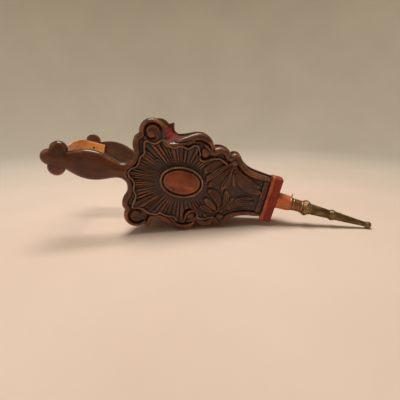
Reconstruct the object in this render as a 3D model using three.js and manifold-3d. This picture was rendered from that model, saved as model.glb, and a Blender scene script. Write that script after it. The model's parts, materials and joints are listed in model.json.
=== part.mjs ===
// Hand bellows: two scroll-edged walnut boards, a pleated leather gusset between them,
// a leather-hinged nose block, a turned neck and a long brass nozzle.
//
// Board axes, used inside every group below, in millimetres:
//   x  from the hinge line towards the handles
//   y  across the boards, upwards as the bellows stands
//   z  from the carved front board towards the back board
// The finished group stands in row axes: +X towards the nozzle, +Y front to back, +Z up.
import * as THREE from 'three';
import { mergeVertices } from 'three/addons/utils/BufferGeometryUtils.js';
import Module from 'manifold-3d';

const wasm = await Module();
wasm.setup();

// ---- Stance, in degrees ----
const TILT = 13.85; // the nozzle end hangs lower than the handle end
const ROLL = 1.15; // leans back until both boards' lower scrolls touch the table
const BASE_YAW = -9.45; // back board and nozzle, turned about the hinge line
const OPENING = 19.15; // angle between the boards, strap taut

// ---- Boards ----
const PLATE = 11; // full-outline part of each board
const CORE = 5; // inset step that the gusset leather is tacked round
const BOARD = PLATE + CORE;
const END_HALF_WIDTH = 39;
const CORE_END_HALF_WIDTH = 34;
const FRONT_END_X = 1.8; // front board starts just behind the hinge line
const HINGE_FLAP_HALF_WIDTH = 36;
const GAP = 0.3; // between neighbours that touch
const OVERLAP = 0.01; // bite between solids that are joined into one
const DISH_DEPTH = 5; // hollow field round the oval boss
const OVAL = { x: 163, halfLength: 31, halfWidth: 20.5 };
const OVAL_RIM = { halfLength: 37, halfWidth: 27 };

// ---- Nose block, neck and nozzle ----
const NOSE_LENGTH = 21;
const NOSE_HALF_WIDTH = 41;
const NOSE_HALF_DEPTH = 14; // the hinge line lies in the block's front face
const AIR_HOLE_R = 8;
const NECK_LENGTH = 24;
const NECK_ROOT_R = 16.5;
const NECK_TIP_R = 14;
const SPIGOT_R = 8.6; // nozzle tail inside the neck
const SPIGOT_LENGTH = 12;
const NOZZLE_RIM_R = 13.5;
const NOZZLE_END = 203; // hinge line to nozzle tip
const NOZZLE_BORE_R = 2.8;
const LEATHER = 1.6;
const LEATHER_STAND = 0.4; // from a board's core to the leather tacked round it

// ---- Back board fittings ----
const BACK_Z = NOSE_HALF_DEPTH + GAP; // inner face of the back board
const VALVE_X = 165;
const VALVE_HOLE_R = 19;
const FLAP = { length: 50, width: 50, thickness: 4 };
const FLAP_HINGE_Y = 25.7;
const SCREW_Y = 24;
const SCREW_HEAD_R = 4.2;
const SCREW_SHANK_R = 1.8;
const SCREW_LENGTH = 34;
const STRIP = { y0: 27.2, y1: 40, inset: 3, thickness: 1.4 }; // leather hinge of the valve flap
const VALVE_TACK = { y: 34, spacing: 15, r: 1.8, height: 1 };

// ---- Handle strap ----
const STRAP_WIDTH = 20;
const STRAP_THICKNESS = 2.6;
const STRAP_Y = 2.5; // the strap sits a little above the handles' centre line
const STRAP_NAIL_FRONT = { x: 336, y: STRAP_Y };
const STRAP_NAIL_BACK = { x: 358, y: STRAP_Y - 1 };
const STRAP_NAIL = { r: 2.2, height: 1.2 };

// ---- Tacks round the gusset ----
const TACKS_PER_BOARD = 14;
const TACK_R = 1.7;
const TACK_HEIGHT = 1.1;

const rad = THREE.MathUtils.degToRad;
const vec2 = (x, y) => new THREE.Vector2(x, y);

// ---- Materials ----
const finish = (color, roughness, metalness = 0) =>
  new THREE.MeshStandardMaterial({ color, roughness, metalness });
const walnut = () => finish(0x4a2616, 0.42);
const plainWalnut = () => finish(0x55321f, 0.6);
const fruitwood = () => finish(0xa8602c, 0.4);
const redLeather = () => finish(0x8c3020, 0.6);
const cherryLeather = () => finish(0x6e1e23, 0.55);
const tanLeather = () => finish(0xd38a48, 0.7);
const brass = () => finish(0x6e5532, 0.45, 0.9);
const brightBrass = () => finish(0xb08a4a, 0.35, 0.9);
const steel = () => finish(0x6a6663, 0.5, 0.8);

// ---- Small helpers ----
function part(name, geometry, material, parent) {
  const mesh = new THREE.Mesh(geometry, material);
  mesh.name = name;
  parent.add(mesh);
  return mesh;
}

function toSolid(geometry) {
  const bare = geometry.index ? geometry.toNonIndexed() : geometry.clone();
  for (const name of Object.keys(bare.attributes)) {
    if (name !== 'position') bare.deleteAttribute(name);
  }
  const merged = mergeVertices(bare, 1e-4);
  return new wasm.Manifold(new wasm.Mesh({
    numProp: 3,
    vertProperties: new Float32Array(merged.attributes.position.array),
    triVerts: new Uint32Array(merged.index.array),
  }));
}

function toGeometry(solid) {
  const { vertProperties, triVerts } = solid.getMesh();
  const geometry = new THREE.BufferGeometry();
  geometry.setAttribute('position', new THREE.BufferAttribute(new Float32Array(vertProperties), 3));
  geometry.setIndex(new THREE.BufferAttribute(new Uint32Array(triVerts), 1));
  geometry.computeVertexNormals();
  return geometry;
}

const addAll = (solid, ...others) => others.reduce((sum, other) => sum.add(toSolid(other)), solid);
const join = (first, ...others) => addAll(toSolid(first), ...others);
const cutAll = (solid, ...tools) => tools.reduce((rest, tool) => rest.subtract(toSolid(tool)), solid);

function plate(points, z0, z1) {
  const shape = new THREE.Shape(points);
  return new THREE.ExtrudeGeometry(shape, { depth: z1 - z0, bevelEnabled: false }).translate(0, 0, z0);
}

function ellipsoid(centre, radii, segments = 20) {
  const geometry = new THREE.SphereGeometry(1, segments, segments / 2);
  return geometry.scale(...radii).translate(...centre);
}

// Lathe about an axis along -x, so a profile height is a distance from the hinge line to the nozzle tip.
function turnedAlongNozzle(profile, segments = 24) {
  const closed = [...profile, profile[0]].map(([r, s]) => vec2(r, s));
  return new THREE.LatheGeometry(closed, segments).rotateZ(Math.PI / 2);
}

// Closed body swept through equal closed rings of points, capped at both ends.
function loft(rings) {
  const count = rings[0].length;
  const positions = rings.flat().flatMap((p) => [p.x, p.y, p.z]);
  const index = [];
  for (let i = 0; i + 1 < rings.length; i += 1) {
    for (let j = 0; j < count; j += 1) {
      const a = i * count + j;
      const b = i * count + ((j + 1) % count);
      index.push(a, b, a + count, b, b + count, a + count);
    }
  }
  const cap = THREE.ShapeUtils.triangulateShape(ringOutline(rings[0]), []);
  const capEnd = THREE.ShapeUtils.triangulateShape(ringOutline(rings.at(-1)), []);
  const last = (rings.length - 1) * count;
  for (const [a, b, c] of cap) index.push(c, b, a);
  for (const [a, b, c] of capEnd) index.push(last + a, last + b, last + c);
  const geometry = new THREE.BufferGeometry();
  geometry.setAttribute('position', new THREE.Float32BufferAttribute(positions, 3));
  geometry.setIndex(index);
  geometry.computeVertexNormals();
  return geometry;
}

// A ring's outline in its own plane, for capping it.
function ringOutline(ring) {
  const right = ring[1].clone().sub(ring[0]).normalize();
  const normal = new THREE.Vector3();
  ring.forEach((p, i) => normal.add(p.clone().cross(ring[(i + 1) % ring.length])));
  const up = normal.normalize().clone().cross(right);
  return ring.map((p) => vec2(p.dot(right), p.dot(up)));
}

// An upper edge turned over to run back along the lower side, less any point on the centre line.
const reflected = (points) => points.filter((p) => p.y > 1e-6).reverse().map((p) => vec2(p.x, -p.y));
const mirrored = (points) => [...points, ...reflected(points)];

// ---- Outlines: edges are drawn from the nozzle end to the handle tip, above the centre line ----
const VOLUTE = { x: 229, y: 74.5, r: 21.5 };
const BEAD = { x: 77.5, y: 58.5, r: 11.5 };
const RUFFLE = { x: 105, y: 52, r: 23 };
const SIDE_LOBE = { x: 366.5, y: 14.5, r: 13.5 };
const END_LOBE = { x: 379.5, y: 0, r: 12.5 };

// The barb beside each volute: the notch before it, then its tip.
// The carved board's upper one is shorter.
const SHORT_BARB = {
  notch: [[171, 80], [182, 73], [191, 66.5], [199, 63.5], [205, 67.5]],
  tip: [207.5, 82],
};
const LONG_BARB = {
  notch: [[171, 81.5], [182, 77], [191, 75], [199, 79], [202, 87]],
  tip: [203.5, 94.5],
};

const angleTo = (circle, x, y) => Math.atan2(y - circle.y, x - circle.x);
const arc = (path, circle, from, to) => path.absarc(circle.x, circle.y, circle.r, from, to, true);

function boardEdge(barb) {
  const edge = new THREE.Path();
  edge.moveTo(FRONT_END_X, END_HALF_WIDTH);
  edge.splineThru([vec2(28, 41.5), vec2(41, 44.5), vec2(52, 49.5), vec2(61, 56.5), vec2(67, 63.5)]);
  arc(edge, BEAD, angleTo(BEAD, 67, 63.5), angleTo(BEAD, 87, 65));
  arc(edge, RUFFLE, angleTo(RUFFLE, 88.5, 68), angleTo(RUFFLE, 120, 69.5));
  edge.splineThru([vec2(123, 76), vec2(128, 83), vec2(136, 88.5), vec2(146, 90), vec2(158, 87.5)]);
  edge.splineThru(barb.notch.map(([x, y]) => vec2(x, y)));
  edge.lineTo(...barb.tip);
  arc(edge, VOLUTE, angleTo(VOLUTE, 213, 89), angleTo(VOLUTE, 249.5, 68));
  edge.splineThru([vec2(255, 62), vec2(257, 53), vec2(255.5, 44), vec2(252.5, 36), vec2(252, 29)]);
  edge.splineThru([vec2(255, 20), vec2(261, 14.8), vec2(269, 13), vec2(278, 14.8), vec2(290, 19.3)]);
  edge.splineThru([vec2(302, 23), vec2(315, 24.5), vec2(328, 23.5), vec2(341, 19.5), vec2(353, 14.5)]);
  arc(edge, SIDE_LOBE, Math.PI, angleTo(SIDE_LOBE, 379.8, 12.5));
  arc(edge, END_LOBE, angleTo(END_LOBE, 379.8, 12.5), 0);
  const points = edge.getPoints(3);
  return points.filter((p, i) => i === 0 || p.distanceTo(points[i - 1]) > 0.05);
}

// Smoothed edge of the inset core, which the gusset leather follows. It dips into the notch by the barb.
const SHORT_NOTCH = [[184, 63], [198, 59], [211, 76]];
const LONG_NOTCH = [[184, 70], [198, 72.5], [211, 81]];

function coreEdge(notch) {
  const edge = new THREE.SplineCurve([
    vec2(FRONT_END_X, CORE_END_HALF_WIDTH), vec2(28, 36.5), vec2(46, 41), vec2(60, 50),
    vec2(76, 62), vec2(104, 68), vec2(122, 68.5), vec2(132, 78), vec2(147, 82), vec2(164, 75),
    ...notch.map(([x, y]) => vec2(x, y)), vec2(229, 89), vec2(243, 79), vec2(247, 62),
    vec2(248, 48), vec2(245, 34), vec2(243.5, 18), vec2(243, 0),
  ]);
  return edge.getPoints(38);
}

// The back board's upper edge is cut a little lower than the carved board's,
// its scrolls nearer the handle.
const UPPER_SHIFT = 6;
const UPPER_CUT = 0.05;
const HANDLE_CUT = 0.05;

function lowered(points) {
  const { smoothstep } = THREE.MathUtils;
  return points.map((p) => {
    const handle = smoothstep(p.x, 250, 290);
    const shift = UPPER_SHIFT * smoothstep(p.x, 60, 130) * (1 - handle);
    return vec2(p.x + shift, p.y * (1 - UPPER_CUT * smoothstep(p.x, 20, 60) - HANDLE_CUT * handle));
  });
}

const NOSE_END_X = -NOSE_LENGTH - GAP;
const frontOutline = [...boardEdge(SHORT_BARB), ...reflected(boardEdge(LONG_BARB))];
const frontCore = [...coreEdge(SHORT_NOTCH), ...reflected(coreEdge(LONG_NOTCH))];
const backOutline = [
  vec2(NOSE_END_X, END_HALF_WIDTH + 1), ...lowered(boardEdge(LONG_BARB)),
  ...reflected(boardEdge(LONG_BARB)), vec2(NOSE_END_X, -END_HALF_WIDTH - 1),
];
const backCore = [...lowered(coreEdge(LONG_NOTCH)), ...reflected(coreEdge(LONG_NOTCH))];

// ---- Front board, in the frame of its outer face ----
function frontBoard() {
  const scallop = new THREE.Path();
  scallop.moveTo(12, 32);
  scallop.lineTo(50, 36);
  scallop.splineThru([
    vec2(70, 44), vec2(88, 52), vec2(98, 50), vec2(112, 53), vec2(125, 48), vec2(140, 47),
  ]);
  scallop.splineThru([
    vec2(148, 63), vec2(158, 66), vec2(171, 61), vec2(184, 58), vec2(196, 57), vec2(208, 63),
  ]);
  scallop.splineThru([
    vec2(224, 57), vec2(236, 52), vec2(236, 36), vec2(240.5, 28), vec2(246, 11), vec2(252, 0),
  ]);
  const dish = plate(mirrored(scallop.getPoints(2)), -1, DISH_DEPTH);
  const ovalRing = ellipsoid([OVAL.x, 0, DISH_DEPTH], [OVAL_RIM.halfLength, OVAL_RIM.halfWidth, 3.2]);
  const oval = ellipsoid([OVAL.x, 0, 4], [OVAL.halfLength, OVAL.halfWidth, 6]);
  const swell = ellipsoid([314, 0, 4], [50, 21, 7]);
  const body = join(plate(frontOutline, 0, PLATE + OVERLAP), plate(frontCore, PLATE, BOARD));
  const bosses = [swell];
  for (const side of [1, -1]) {
    bosses.push(ellipsoid([VOLUTE.x, side * VOLUTE.y, 1], [8, 8, 4], 16));
    bosses.push(ellipsoid([134, side * 60, 3], [10, 10, 5], 16));
    bosses.push(ellipsoid([BEAD.x, side * 53, 2], [8, 8, 4.5], 16));
  }
  return toGeometry(addAll(cutAll(body, dish), ovalRing, oval, ...bosses));
}

// ---- Back board, in the base frame ----
// Countersunk profile.
// The clearance cut for it is the same profile grown by extra and run past the face.
function screwProfile(extra) {
  const face = BACK_Z + BOARD;
  const tip = face - SCREW_LENGTH - extra;
  const top = extra > 0 ? face + 1 : face - 0.4;
  return [
    [0, tip], [SCREW_SHANK_R * 0.4 + extra, tip], [SCREW_SHANK_R + extra, tip + 6],
    [SCREW_SHANK_R + extra, face - 3.4 - extra], [SCREW_HEAD_R + extra, face - 1 - extra],
    [SCREW_HEAD_R + extra, top], [0, top],
  ].map(([r, z]) => vec2(r, z));
}

function screw(side, extra = 0) {
  const lathe = new THREE.LatheGeometry(screwProfile(extra), 16).rotateX(Math.PI / 2);
  return lathe.translate(-NOSE_LENGTH / 2, side * SCREW_Y, 0);
}

function backBoard() {
  const hole = new THREE.CylinderGeometry(VALVE_HOLE_R, VALVE_HOLE_R, BOARD + 4, 28);
  hole.rotateX(Math.PI / 2).translate(VALVE_X, 0, BACK_Z + BOARD / 2);
  const core = [
    vec2(NOSE_END_X, CORE_END_HALF_WIDTH), ...backCore, vec2(NOSE_END_X, -CORE_END_HALF_WIDTH),
  ];
  const body = join(
    plate(backOutline, BACK_Z + CORE - OVERLAP, BACK_Z + BOARD), plate(core, BACK_Z, BACK_Z + CORE),
  );
  return toGeometry(cutAll(body, hole, screw(1, GAP), screw(-1, GAP)));
}

// ---- Nose block: a drilled block, wrapped by the hinge leather ----
function noseBlock() {
  const shape = new THREE.Shape([
    vec2(-NOSE_HALF_DEPTH, -NOSE_HALF_WIDTH), vec2(NOSE_HALF_DEPTH, -NOSE_HALF_WIDTH),
    vec2(NOSE_HALF_DEPTH, NOSE_HALF_WIDTH), vec2(-NOSE_HALF_DEPTH, NOSE_HALF_WIDTH),
  ]);
  const bar = new THREE.ExtrudeGeometry(shape, { depth: NOSE_LENGTH - GAP, bevelEnabled: false });
  bar.rotateY(-Math.PI / 2).translate(-GAP, 0, 0);
  const airHole = new THREE.CylinderGeometry(AIR_HOLE_R, AIR_HOLE_R, NOSE_LENGTH * 2, 20);
  airHole.rotateZ(Math.PI / 2).translate(-NOSE_LENGTH / 2, 0, 0);
  return toGeometry(cutAll(toSolid(bar), airHole, screw(1, GAP), screw(-1, GAP)));
}

// Leather wrapped over the block's front, top and bottom faces.
function hingeLeather() {
  const inner = NOSE_HALF_WIDTH + GAP;
  const outer = inner + LEATHER;
  const frontZ = -NOSE_HALF_DEPTH - GAP;
  const wrap = new THREE.Shape([
    vec2(frontZ - LEATHER, -outer), vec2(NOSE_HALF_DEPTH, -outer), vec2(NOSE_HALF_DEPTH, -inner),
    vec2(frontZ, -inner), vec2(frontZ, inner), vec2(NOSE_HALF_DEPTH, inner),
    vec2(NOSE_HALF_DEPTH, outer), vec2(frontZ - LEATHER, outer),
  ]);
  const band = new THREE.ExtrudeGeometry(wrap, { depth: NOSE_LENGTH - 1, bevelEnabled: false });
  return band.rotateY(-Math.PI / 2).translate(-0.6, 0, 0);
}

// ---- Turned neck and nozzle ----
const NECK_START = NOSE_LENGTH + GAP;
const NECK_END = NECK_START + NECK_LENGTH;

function neck() {
  const socket = NECK_END - SPIGOT_LENGTH - 1;
  return turnedAlongNozzle([
    [AIR_HOLE_R, NECK_START], [NECK_ROOT_R, NECK_START], [NECK_ROOT_R, NECK_START + 3],
    [NECK_ROOT_R - 1.2, NECK_START + 6], [NECK_TIP_R + 1, NECK_END - 6], [NECK_TIP_R, NECK_END],
    [SPIGOT_R + GAP, NECK_END], [SPIGOT_R + GAP, socket], [AIR_HOLE_R, socket],
  ]);
}

// Rings of the nozzle: [centre, half length, crest radius, radius beside it].
const RINGS = [[78, 8.5, 14.6, 10.8], [129, 5, 9.9, 7.9]];

function nozzle() {
  const rim = NECK_END + GAP;
  const profile = [[7, rim - SPIGOT_LENGTH], [SPIGOT_R, rim - SPIGOT_LENGTH], [SPIGOT_R, rim]];
  profile.push([NOZZLE_RIM_R, rim], [NOZZLE_RIM_R, rim + 4], [NOZZLE_RIM_R - 1.5, rim + 6]);
  profile.push([11.2, 68.5]);
  for (const [centre, half, crest, side] of RINGS) {
    profile.push([side, centre - half], [side + 1.4, centre - half * 0.75]);
    profile.push([crest, centre - half * 0.2], [crest, centre + half * 0.2]);
    profile.push([side + 1.2, centre + half * 0.75]);
    profile.push([side - 0.6, centre + half]);
  }
  const tip = NOZZLE_END;
  profile.push([4.3, tip - 11.5], [5.6, tip - 8.5], [6.2, tip - 5], [5.4, tip - 1.5], [4.2, tip]);
  profile.push([NOZZLE_BORE_R, tip], [NOZZLE_BORE_R, tip - 13], [7, 72]);
  return turnedAlongNozzle(profile);
}

// ---- Gusset leather: a wall round the two cores, folded inwards halfway up ----
const FOLD_STEPS = 4;
const FOLD_SHARE = 0.15; // fold depth as a share of the gap between the boards
const HEM = 0.8; // from the leather's edge to a board's plate, and from its first bend to the core

function inBase(point) {
  const hingeLine = new THREE.Vector3(0, 1, 0);
  const turned = new THREE.Vector3(point.x, point.y, point.z).applyAxisAngle(hingeLine, rad(OPENING));
  return turned.add(new THREE.Vector3(0, 0, -NOSE_HALF_DEPTH));
}

// A core's edge moved outwards.
function offsetEdge(edge, distance) {
  return edge.map((p, i) => {
    const before = edge[Math.max(i - 1, 0)];
    const after = edge[Math.min(i + 1, edge.length - 1)];
    const along = after.clone().sub(before).normalize();
    return vec2(p.x - along.y * distance, p.y + along.x * distance);
  });
}

function gusset() {
  const sides = (distance) => [offsetEdge(frontCore, distance), offsetEdge(backCore, distance)];
  const [nearFront, nearBack] = sides(LEATHER_STAND);
  const [farFront, farBack] = sides(LEATHER_STAND + LEATHER);
  const onBack = (side, z) => new THREE.Vector3(side.x, side.y, z);
  const rings = frontCore.map((p, i) => {
    const fromEnd = Math.min(i, frontCore.length - 1 - i);
    const wall = (onFrontSide, onBackSide) => {
      const front = inBase({ ...onFrontSide, z: BOARD + HEM });
      const back = onBack(onBackSide, BACK_Z - HEM);
      const inward = p.clone().sub(onFrontSide).normalize();
      const depth = FOLD_SHARE * front.distanceTo(back) * Math.min(1, fromEnd / 4);
      const folded = Array.from({ length: FOLD_STEPS + 1 }, (_, k) => {
        const share = k / FOLD_STEPS;
        const fold = depth * (1 - Math.abs(2 * share - 1));
        const tuck = new THREE.Vector3(inward.x * fold, inward.y * fold, 0);
        return front.clone().lerp(back, share).add(tuck);
      });
      const frontHem = inBase({ ...onFrontSide, z: PLATE + HEM });
      const backHem = onBack(onBackSide, BACK_Z + CORE - HEM);
      return [frontHem, ...folded, backHem];
    };
    return [...wall(farFront[i], farBack[i]), ...wall(nearFront[i], nearBack[i]).reverse()];
  });
  return loft(rings);
}

// ---- Handle strap: nailed inside both handles, crossing the gap near their ends ----
function strap() {
  const backZ = BACK_Z - GAP - STRAP_THICKNESS / 2;
  const frontZ = BOARD + GAP + STRAP_THICKNESS / 2;
  const onFront = (x) => inBase({ x, y: 0, z: frontZ });
  const belowBack = (x, drop) => new THREE.Vector3(x, 0, backZ - drop);
  const path = [
    belowBack(336, 0), belowBack(362, 0), belowBack(374, 2.5), belowBack(381, 14), belowBack(378, 44),
    belowBack(368, 80), belowBack(359, 106), onFront(361).add(new THREE.Vector3(-1, 0, 2)),
    onFront(346), onFront(328),
  ];
  const curve = new THREE.CatmullRomCurve3(path);
  const steps = 40;
  const rings = Array.from({ length: steps + 1 }, (_, i) => {
    const centre = curve.getPointAt(i / steps);
    const along = curve.getTangentAt(i / steps);
    const side = new THREE.Vector3(along.z, 0, -along.x).multiplyScalar(STRAP_THICKNESS / 2);
    const across = new THREE.Vector3(0, STRAP_WIDTH / 2, 0);
    const corner = (a, b) => centre.clone().addScaledVector(side, a).addScaledVector(across, b)
      .add(new THREE.Vector3(0, STRAP_Y, 0));
    return [corner(1, -1), corner(1, 1), corner(-1, 1), corner(-1, -1)];
  });
  return loft(rings);
}

// ---- Valve flap and its leather hinge strip ----
function valveFlap() {
  const top = BACK_Z - GAP;
  const x0 = VALVE_X - FLAP.length / 2;
  const x1 = VALVE_X + FLAP.length / 2;
  const y1 = FLAP_HINGE_Y - GAP;
  const y0 = y1 - FLAP.width;
  return plate([vec2(x0, y0), vec2(x1, y0), vec2(x1, y1), vec2(x0, y1)], top - FLAP.thickness, top);
}

function valveStrip() {
  const top = BACK_Z - GAP;
  const { y0, y1, inset, thickness } = STRIP;
  const x0 = VALVE_X - FLAP.length / 2 + inset;
  const x1 = VALVE_X + FLAP.length / 2 - inset;
  return plate([vec2(x0, y0), vec2(x1, y0), vec2(x1, y1), vec2(x0, y1)], top - thickness, top);
}

// ---- Tacks and nails: domed heads, their shanks buried ----
function dome(radius, height) {
  const profile = [
    vec2(0, 0), vec2(radius, 0), vec2(radius * 0.86, height * 0.55), vec2(radius * 0.5, height * 0.9),
    vec2(0, height),
  ];
  return new THREE.LatheGeometry(profile, 10);
}

function placeHead(name, geometry, material, parent, position, outward) {
  const head = part(name, geometry, material, parent);
  head.position.copy(position);
  head.quaternion.setFromUnitVectors(new THREE.Vector3(0, 1, 0), outward.clone().normalize());
  return head;
}

function gussetTacks(label, parent, core, z) {
  const curve = new THREE.SplineCurve(core);
  for (let i = 0; i < TACKS_PER_BOARD; i += 1) {
    const share = (i + 0.5) / TACKS_PER_BOARD;
    const p = curve.getPointAt(share);
    const along = curve.getTangentAt(share);
    const outward = new THREE.Vector3(-along.y, along.x, 0);
    const stand = LEATHER_STAND + LEATHER + 0.5;
    const position = new THREE.Vector3(p.x, p.y, z).addScaledVector(outward, stand);
    placeHead(`${label}_${i + 1}`, dome(TACK_R, TACK_HEIGHT), brightBrass(), parent, position, outward);
  }
}

// ---- Assembly ----
const bellows = new THREE.Group();
bellows.rotation.set(Math.PI / 2, 0, Math.PI, 'ZYX'); // board axes to row axes
const lean = new THREE.Group();
lean.rotation.z = rad(TILT);
const base = new THREE.Group();
base.rotation.y = rad(BASE_YAW);
const front = new THREE.Group();
front.position.z = -NOSE_HALF_DEPTH;
front.rotation.y = rad(OPENING);
bellows.add(lean);
lean.add(base);
base.add(front);

const towardsFront = new THREE.Vector3(0, 0, -1);
part('back_board', backBoard(), plainWalnut(), base);
part('nose_block', noseBlock(), plainWalnut(), base);
part('block_screw_upper', screw(1), steel(), base);
part('block_screw_lower', screw(-1), steel(), base);
part('hinge_leather', hingeLeather(), redLeather(), base);
part('nozzle_neck', neck(), fruitwood(), base);
part('nozzle_tube', nozzle(), brass(), base);
const pin = part('nozzle_pin', new THREE.CylinderGeometry(0.5, 1.1, 6, 10), brass(), base);
pin.position.set(-NECK_END - GAP - 2, NOZZLE_RIM_R + GAP + 3.1, 0);
part('gusset_leather', gusset(), cherryLeather(), base);
part('handle_strap', strap(), tanLeather(), base);
part('valve_hinge_strip', valveStrip(), cherryLeather(), base);
part('valve_flap', valveFlap(), plainWalnut(), base);
for (const [i, side] of [-1, 1].entries()) {
  const x = VALVE_X + side * VALVE_TACK.spacing;
  const position = new THREE.Vector3(x, VALVE_TACK.y, BACK_Z - GAP - STRIP.thickness - GAP);
  const head = dome(VALVE_TACK.r, VALVE_TACK.height);
  placeHead(`valve_tack_${i + 1}`, head, brightBrass(), base, position, towardsFront);
}
const backNailZ = BACK_Z - 2 * GAP - STRAP_THICKNESS;
const backNail = new THREE.Vector3(STRAP_NAIL_BACK.x, STRAP_NAIL_BACK.y, backNailZ);
const nailHead = () => dome(STRAP_NAIL.r, STRAP_NAIL.height);
placeHead('strap_nail_back', nailHead(), brightBrass(), base, backNail, towardsFront);
gussetTacks('back_tack', base, backCore, BACK_Z + CORE / 2);

part('front_board', frontBoard(), walnut(), front);
const flapEnd = [
  vec2(GAP, -HINGE_FLAP_HALF_WIDTH), vec2(FRONT_END_X - 0.2, -HINGE_FLAP_HALF_WIDTH),
  vec2(FRONT_END_X - 0.2, HINGE_FLAP_HALF_WIDTH), vec2(GAP, HINGE_FLAP_HALF_WIDTH),
];
part('hinge_flap', plate(flapEnd, 1, PLATE), redLeather(), front);
const frontNailZ = BOARD + 2 * GAP + STRAP_THICKNESS;
const frontNail = new THREE.Vector3(STRAP_NAIL_FRONT.x, STRAP_NAIL_FRONT.y, frontNailZ);
const towardsBack = new THREE.Vector3(0, 0, 1);
placeHead('strap_nail_front', nailHead(), brightBrass(), front, frontNail, towardsBack);
gussetTacks('front_tack', front, frontCore, PLATE + CORE / 2);

// Stand the bellows with the origin under the middle of its bounding box.
const stance = new THREE.Group();
stance.rotation.x = rad(ROLL);
stance.add(bellows);
stance.updateMatrixWorld(true);
const box = new THREE.Box3().setFromObject(stance, true);
stance.position.set(-(box.min.x + box.max.x) / 2, -(box.min.y + box.max.y) / 2, -box.min.z);
const group = new THREE.Group();
group.add(stance);

export default group;
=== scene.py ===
"""Looks for the hand bellows: carved walnut boards, leather gusset, strap, neck and brass nozzle.

Every piece is laid out in millimetres in a board's own axes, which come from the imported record:
x from the hinge line towards the handles, y across the board, upwards as the bellows stands,
z from the carved front board towards the back board.
"""
import json
import math

import bmesh
import bpy
import numpy as np
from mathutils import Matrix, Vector, geometry
from mathutils.kdtree import KDTree


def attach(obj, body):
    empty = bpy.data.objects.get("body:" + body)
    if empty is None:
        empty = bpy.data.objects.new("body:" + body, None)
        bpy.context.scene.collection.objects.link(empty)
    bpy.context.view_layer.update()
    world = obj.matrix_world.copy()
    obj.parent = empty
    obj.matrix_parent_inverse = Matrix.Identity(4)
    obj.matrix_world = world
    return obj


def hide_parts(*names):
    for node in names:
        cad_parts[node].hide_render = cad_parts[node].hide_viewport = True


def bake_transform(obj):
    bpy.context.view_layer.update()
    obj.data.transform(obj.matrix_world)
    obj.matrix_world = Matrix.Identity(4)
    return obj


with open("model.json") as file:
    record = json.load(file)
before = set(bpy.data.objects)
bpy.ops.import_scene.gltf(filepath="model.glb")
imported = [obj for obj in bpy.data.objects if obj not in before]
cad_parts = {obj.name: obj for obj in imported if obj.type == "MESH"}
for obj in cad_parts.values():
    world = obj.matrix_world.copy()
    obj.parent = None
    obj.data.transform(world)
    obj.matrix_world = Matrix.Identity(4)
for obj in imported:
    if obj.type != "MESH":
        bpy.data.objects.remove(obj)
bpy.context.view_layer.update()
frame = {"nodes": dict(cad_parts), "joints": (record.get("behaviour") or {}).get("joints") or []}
MM = 0.001

# ---- Driving dimensions, in millimetres, the same as the frame's ----
OPENING = math.radians(19.15)
PLATE = 11.0
CORE = 5.0
BOARD = PLATE + CORE
END_HALF_WIDTH = 39.0
END_X = 1.8
NOSE_LENGTH = 21.0
NOSE_HALF_WIDTH = 41.0
NOSE_HALF_DEPTH = 14.0
GAP = 0.3
LEATHER = 1.6
NECK_START = NOSE_LENGTH + GAP
NECK_END = NECK_START + 24.0
NOZZLE_TIP = 203.0
BACK_Z = NOSE_HALF_DEPTH + GAP
BACK_FACE = BACK_Z + BOARD
VALVE_X = 165.0
VALVE_HOLE_R = 19.0
SCREW_Y = 24.0
STRAP_WIDTH = 20.0
STRAP_THICKNESS = 2.6
STRAP_Y = 2.5
CORE_END_HALF_WIDTH = 34.0
CORE_POINTS = 220

# Circles of the outline: centre x, centre y, radius.
VOLUTE = (229.0, 74.5, 21.5)
BEAD = (77.5, 58.5, 11.5)
RUFFLE = (105.0, 52.0, 23.0)
SIDE_LOBE = (366.5, 14.5, 13.5)
END_LOBE = (379.5, 0.0, 12.5)
LOBES_MEET = (379.8, 12.5)


# ---- Frames ----
class Axes:
    """A board's axes in the row frame, in metres."""

    def __init__(self, origin, along, across, away):
        self.origin = np.array(origin, float)
        self.matrix = np.array([along, across, away], float)

    def place(self, points):
        return self.origin + np.asarray(points, float) * MM @ self.matrix


def board_axes():
    joints = {j["name"]: j for j in frame["joints"]}
    hinge = Vector(joints["board_hinge"]["pos_m"])
    across = -Vector(joints["board_hinge"]["axis"]).normalized()
    along = Vector(joints["valve_hinge"]["axis"]).normalized()
    away = along.cross(across).normalized()
    base = Axes(hinge + away * NOSE_HALF_DEPTH * MM, along, across, away)
    turned = along * math.cos(OPENING) - away * math.sin(OPENING)
    facing = along * math.sin(OPENING) + away * math.cos(OPENING)
    return hinge, base, Axes(hinge, turned, across, facing)


HINGE, BASE, FRONT = board_axes()


# ---- Curves ----
def run_along(path):
    """Length from the path's start to each of its points."""
    return np.r_[0, np.cumsum(np.linalg.norm(np.diff(path, axis=0), axis=1))]


def evenly(curve, count):
    """The curve as count points, all the same distance apart along it."""
    run = run_along(curve)
    even = np.linspace(0, run[-1], count)
    return np.column_stack([np.interp(even, run, column) for column in curve.T])


def resample(curve, step):
    curve = np.asarray(curve, float)
    return evenly(curve, max(2, int(round(run_along(curve)[-1] / step)) + 1))


def spline(points, step=1.0):
    """Catmull-Rom curve through the points, resampled every step."""
    p = np.array(points, float)
    ends = np.vstack([p[:1], p, p[-1:]])
    t = np.linspace(0, 1, 24, endpoint=False)[:, None]
    pieces = []
    for a, b, c, d in zip(ends, ends[1:], ends[2:], ends[3:]):
        leaving = (t**3 - 2 * t**2 + t) * (c - a) / 2
        arriving = (t**3 - t**2) * (d - b) / 2
        pieces.append((2 * t**3 - 3 * t**2 + 1) * b + leaving + (3 * t**2 - 2 * t**3) * c + arriving)
    return resample(np.vstack([*pieces, p[-1:]]), step)


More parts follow.
